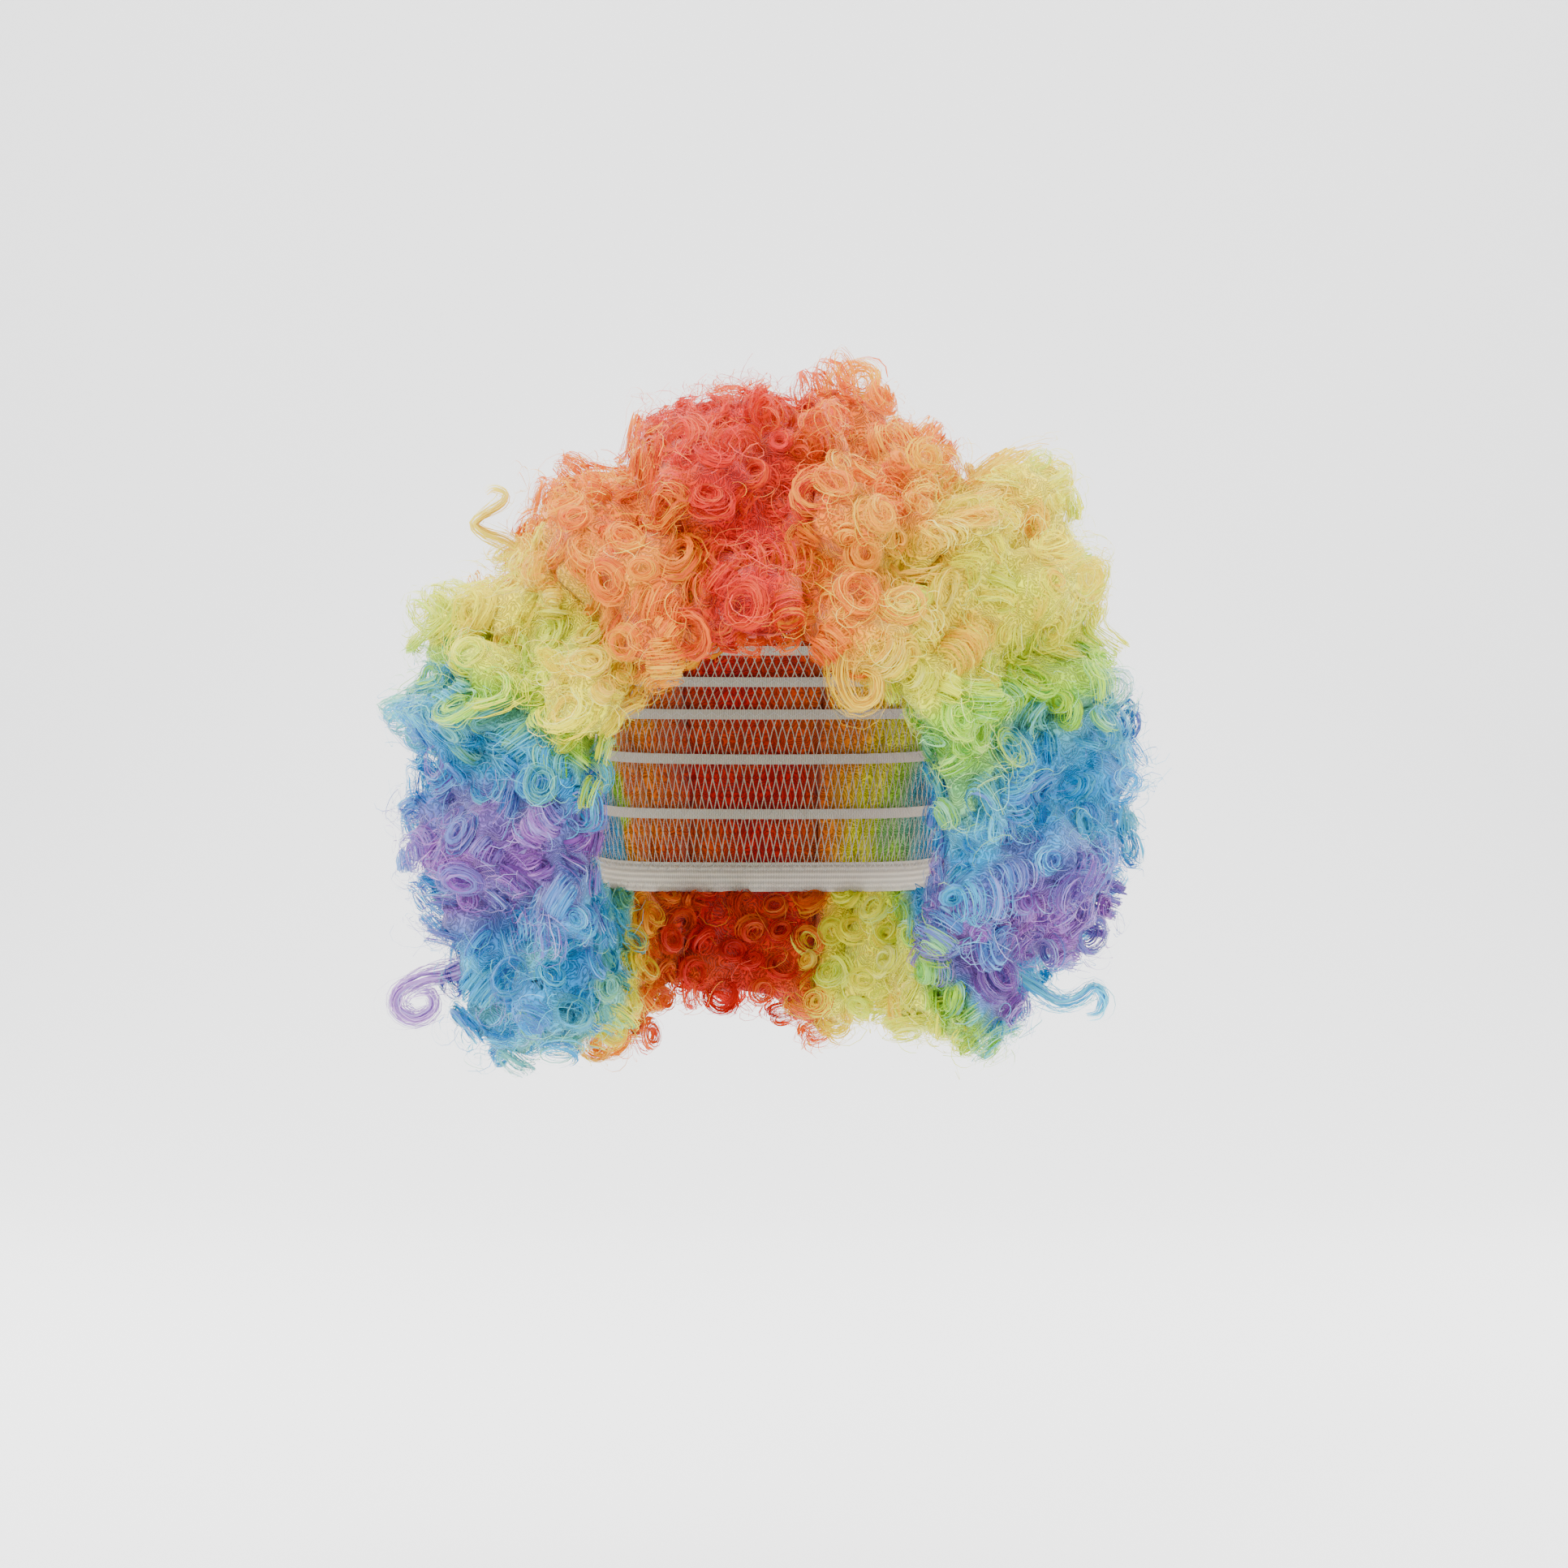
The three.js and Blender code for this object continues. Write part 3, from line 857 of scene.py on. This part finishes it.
def headNormal(points):
    out = points / mm - (0, 0, head["middle"])
    level = 0 * out[..., :2] + (head["halfWide"], head["halfLong"])
    tall = np.where(out[..., 2:] > 0, head["up"], head["down"])
    return unit(out / np.concatenate([level, tall], -1) ** 2)


def clothFinish(name, pitch, ribs=0.0):
    # fine yarn across the piece, pitch mm apart, and ribs along it where they are named
    material, nodes, links, shader = newFinish(name, 0.8, 0.25, 0.3)
    grain = nodes.new("ShaderNodeAttribute")
    grain.attribute_name = "grain"
    height = None
    for direction, apart in (("X", pitch), ("Y", ribs)):
        if not apart:
            continue
        yarn = nodes.new("ShaderNodeTexWave")
        yarn.bands_direction = direction
        yarn.inputs["Scale"].default_value = math.pi / 10 / apart
        yarn.inputs["Distortion"].default_value = 0.6
        links.new(grain.outputs["Vector"], yarn.inputs["Vector"])
        if height is None:
            height = yarn.outputs["Fac"]
            continue
        both = nodes.new("ShaderNodeMath")
        both.operation = "MULTIPLY_ADD"
        links.new(height, both.inputs[0])
        both.inputs[1].default_value = 0.35
        half = nodes.new("ShaderNodeMath")
        half.operation = "MULTIPLY"
        half.inputs[1].default_value = 0.65
        links.new(yarn.outputs["Fac"], half.inputs[0])
        links.new(half.outputs["Value"], both.inputs[2])
        height = both.outputs["Value"]
    dyed = scaledTint(nodes, links, height, 0.72, 1.05)
    links.new(dyed, shader.inputs["Base Color"])
    raised = nodes.new("ShaderNodeBump")
    raised.inputs["Strength"].default_value = 0.8
    raised.inputs["Distance"].default_value = 0.35 * mm
    links.new(height, raised.inputs["Height"])
    links.new(raised.outputs["Normal"], shader.inputs["Normal"])
    return material


shares = np.linspace(net["patch"], 1, net["rings"] + 1)
threads = []
for above, below in zip(shares, shares[1:]):
    edge = netPoint(fullTurn, (above + below) / 2)
    circuit = np.linalg.norm(np.diff(np.vstack([edge, edge[:1]]), axis=0), axis=1).sum()
    count = round(circuit / (net["cell"] * mm))
    lean = 1.5 * 2 * math.pi / count
    start = np.arange(count)[:, None] * 2 * math.pi / count
    u = np.linspace(0, 1, 5)
    for way in (-1, 1):
        threads.append(netPoint(start + way * lean * u, above + (below - above) * u))
threads = np.concatenate(threads)
netFinish = clothFinish("netYarn", 0.7)
netPiece = strandMesh(
    "cap_net",
    threads,
    headNormal(threads),
    np.full(threads.shape[:2], net["thread"] * mm),
    0 * threads + net["colour"],
    netFinish,
)

around = np.linspace(0, 2 * math.pi, 181)
tapes = np.stack([netPoint(around, share) for share in shares])
tapeWidth = np.full(tapes.shape[:2], net["tape"] * mm)
tapeFinish = clothFinish("tapeCloth", 0.8)
inner = tapes - headNormal(tapes) * net["tapeThick"] / 2 * mm
tapePiece = strandMesh(
    "weft_tapes", inner, headNormal(tapes), tapeWidth, 0 * tapes + net["tapeColour"], tapeFinish
)


def zigzag(name, alongRows, lift):
    # rows of zigzag sewing, each row given as angles down the head for a full turn
    pitch, half = net["stitch"]
    count = 2 * round(270 / pitch)
    turn = np.linspace(0, 2 * math.pi, count + 1)
    rows = []
    for row in alongRows:
        down = np.interp(turn, np.append(fullTurn, 2 * math.pi), np.append(row, row[0]))
        swing = half / 110 * np.where(np.arange(count + 1) % 2, 1, -1)
        rows.append(onHead(turn, down + swing, lift) * mm)
    rows = np.stack(rows)
    wide = np.full(rows.shape[:2], 0.45 * mm)
    shade = 0 * rows + net["stitchColour"]
    return strandMesh(name, rows, headNormal(rows), wide, shade, tapeFinish)


sewing = zigzag("weft_sewing", [netRim * share for share in shares], net["lift"] - 0.75)
for made in (netPiece, tapePiece, sewing):
    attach(made, "root")
    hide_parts("cap")

# Hem band
hem = {"thick": 1.9, "middle": 0.35, "colour": (0.80, 0.74, 0.64)}
profile = [(-0.5, 0.0), (-0.42, 0.5), (0.42, 0.5), (0.5, 0.0), (0.42, -0.5), (-0.42, -0.5)]
lowRim = rimAngle(fullTurn, 0)
highRim = rimAngle(fullTurn, rim["band"])
rings = []
for across, out in profile:
    down = lowRim + (highRim - lowRim) * (across + 0.5)
    rings.append(onHead(fullTurn, down, hem["middle"] + out * hem["thick"]) * mm)
corners = np.stack(rings, axis=1)
index = np.arange(corners[..., 0].size).reshape(corners.shape[:2])
right = np.roll(index, -1, axis=0)
quads = np.stack([index, right, np.roll(right, -1, axis=1), np.roll(index, -1, axis=1)], axis=-1)
mesh = bpy.data.meshes.new("elastic_hem")
mesh.from_pydata(corners.reshape(-1, 3).tolist(), [], quads.reshape(-1, 4).tolist())
mesh.polygons.foreach_set("use_smooth", np.ones(len(mesh.polygons), bool))
tint = np.ones((index.size, 4), np.float32)
tint[:, :3] = hem["colour"]
mesh.attributes.new("tint", "FLOAT_COLOR", "POINT").data.foreach_set("color", tint.ravel())
grain = np.zeros((*index.shape, 3), np.float32)
lengths = np.linalg.norm(np.diff(corners[:, 1], axis=0), axis=1) / mm
grain[1:, :, 0] = np.cumsum(lengths)[:, None]
grain[..., 1] = np.array([row[0] for row in profile]) * rim["band"]
mesh.attributes.new("grain", "FLOAT_VECTOR", "POINT").data.foreach_set("vector", grain.ravel())
hemPiece = bpy.data.objects.new("elastic_hem", mesh)
bpy.context.collection.objects.link(hemPiece)
deselectAll()
hemPiece.select_set(True)
bpy.context.view_layer.objects.active = hemPiece
bpy.ops.object.mode_set(mode="EDIT")
bpy.ops.mesh.select_all(action="SELECT")
bpy.ops.mesh.normals_make_consistent(inside=False)
bpy.ops.object.mode_set(mode="OBJECT")
mesh.materials.append(clothFinish("ribbedElastic", 1.1, 2.4))
triangles["elastic_hem"] = 2 * len(mesh.polygons)
span = highRim - lowRim
hemSewing = zigzag("hem_sewing", [lowRim + span * 0.14, lowRim + span * 0.86], -0.75)
for made in (hemPiece, hemSewing):
    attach(made, "root")
    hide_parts("hem_band")
print("cap and hem ready")
print("triangles in all:", sum(triangles.values()), "largest piece:", max(triangles.values()))

# Camera at the height of the face, square to it
view = {"middle": (6.8, 10.0, -115.0), "away": 1700.0, "wide": 628.0, "elevation": 2.0}
camera = bpy.data.cameras.new("camera")
camera.sensor_width = 36
camera.lens = 36 * view["away"] / view["wide"]
camera.clip_end = 20
cameraObject = bpy.data.objects.new("camera", camera)
bpy.context.collection.objects.link(cameraObject)
rise = math.radians(view["elevation"])
middle = Vector(view["middle"]) * mm
back = Vector((0, -math.cos(rise), math.sin(rise)))
cameraObject.location = middle + back * view["away"] * mm
cameraObject.rotation_euler = (math.pi / 2 - rise, 0, 0)
bpy.context.scene.camera = cameraObject

# Pale sweep: a floor that curves up into a wall
sweep = {"floor": -480.0, "behind": 2600.0, "half": 6000.0, "high": 5000.0, "curve": 1200.0}
deselectAll()
floorMiddle = (sweep["behind"] - sweep["half"]) * mm
floorPlace = (0, floorMiddle, sweep["floor"] * mm)
bpy.ops.mesh.primitive_plane_add(size=2 * sweep["half"] * mm, location=floorPlace)
floor = bpy.context.object
floor.name = "sweep"
bpy.ops.object.transform_apply(location=True)
bpy.ops.object.mode_set(mode="EDIT")
bpy.ops.mesh.select_mode(type="EDGE")
bpy.ops.mesh.select_all(action="DESELECT")
bpy.ops.object.mode_set(mode="OBJECT")
for edge in floor.data.edges:
    edge.select = all(floor.data.vertices[i].co.y > 0 for i in edge.vertices)
bpy.ops.object.mode_set(mode="EDIT")
bpy.ops.mesh.extrude_region_move(TRANSFORM_OT_translate={"value": (0, 0, sweep["high"] * mm)})
bpy.ops.mesh.select_all(action="SELECT")
bpy.ops.mesh.normals_make_consistent(inside=False)
bpy.ops.object.mode_set(mode="OBJECT")
rounded = floor.modifiers.new("curve", "BEVEL")
rounded.width = sweep["curve"] * mm
rounded.segments = 16
bpy.ops.object.modifier_apply(modifier=rounded.name)
bpy.ops.object.shade_smooth()
paper, nodes, links, shader = newFinish("paper", 0.9, 0.2)
shader.inputs["Base Color"].default_value = (0.86, 0.86, 0.86, 1)
floor.data.materials.append(paper)

lamps = {
    "key": {"at": (-0.9, -1.7, 0.9), "to": (0, 0, -0.1), "size": 1.1, "power": 57},
    "fill": {"at": (1.4, -1.5, 0.1), "to": (0, 0, -0.1), "size": 1.3, "power": 27},
    "top": {"at": (0.1, -0.2, 1.5), "to": (0, 0, -0.1), "size": 1.2, "power": 24},
    "rimRight": {"at": (1.3, 1.1, 0.5), "to": (0, 0, -0.1), "size": 0.8, "power": 34},
    "rimLeft": {"at": (-1.3, 1.1, 0.5), "to": (0, 0, -0.1), "size": 0.8, "power": 34},
    "backdrop": {"at": (0, 0.7, 1.6), "to": (0, 2.6, 0.0), "size": 2.4, "power": 100},
}
for name, lamp in lamps.items():
    light = bpy.data.lights.new(name, "AREA")
    light.energy = lamp["power"]
    light.size = lamp["size"]
    lightObject = bpy.data.objects.new(name, light)
    bpy.context.collection.objects.link(lightObject)
    lightObject.location = lamp["at"]
    aim = Vector(lamp["to"]) - lightObject.location
    lightObject.rotation_euler = aim.to_track_quat("-Z", "Y").to_euler()
world = bpy.data.worlds.new("studio")
bpy.context.scene.world = world
world.use_nodes = True
world.node_tree.nodes["Background"].inputs["Color"].default_value = (0.97, 0.98, 1.0, 1)
world.node_tree.nodes["Background"].inputs["Strength"].default_value = 0.68
print("camera, sweep and lamps ready")
